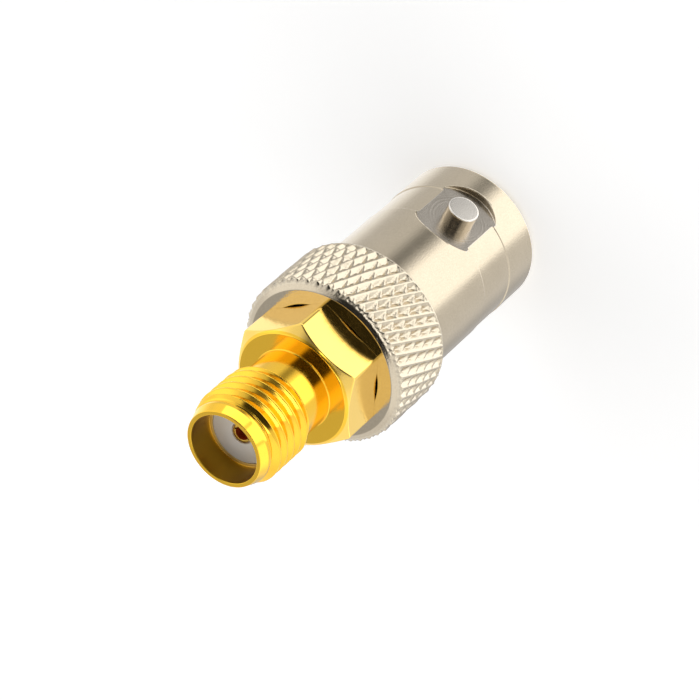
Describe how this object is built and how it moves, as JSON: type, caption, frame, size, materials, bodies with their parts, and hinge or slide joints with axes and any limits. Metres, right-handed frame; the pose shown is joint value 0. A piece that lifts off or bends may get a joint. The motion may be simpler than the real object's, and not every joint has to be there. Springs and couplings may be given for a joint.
{
  "type": "coax adapter",
  "caption": "Straight coax adapter: gold-plated threaded SMA-size jack with hex, joined to a nickel-plated BNC-size bayonet jack with knurled ring.",
  "frame": {"origin": "centre of the bayonet jack's mouth, which is the face the part stands on", "axes": "+Z along the connector axis to the threaded jack's mouth, +X through one bayonet stud"},
  "size_m": [0.0114, 0.0114, 0.0281],
  "materials": {
    "nickel_plated_brass": "satin nickel plating over turned brass",
    "gold_plated_brass": "bright gold plating over turned brass",
    "ptfe": "plain machined fluoropolymer",
    "gold_plated_contact": "gold plating over a copper alloy"
  },
  "bodies": {
    "root": {"bnc_shell": "nickel_plated_brass", "sma_shell": "gold_plated_brass", "bnc_insulator": "ptfe", "sma_insulator": "ptfe", "centre_contact": "gold_plated_contact"}
  },
  "joints": []
}
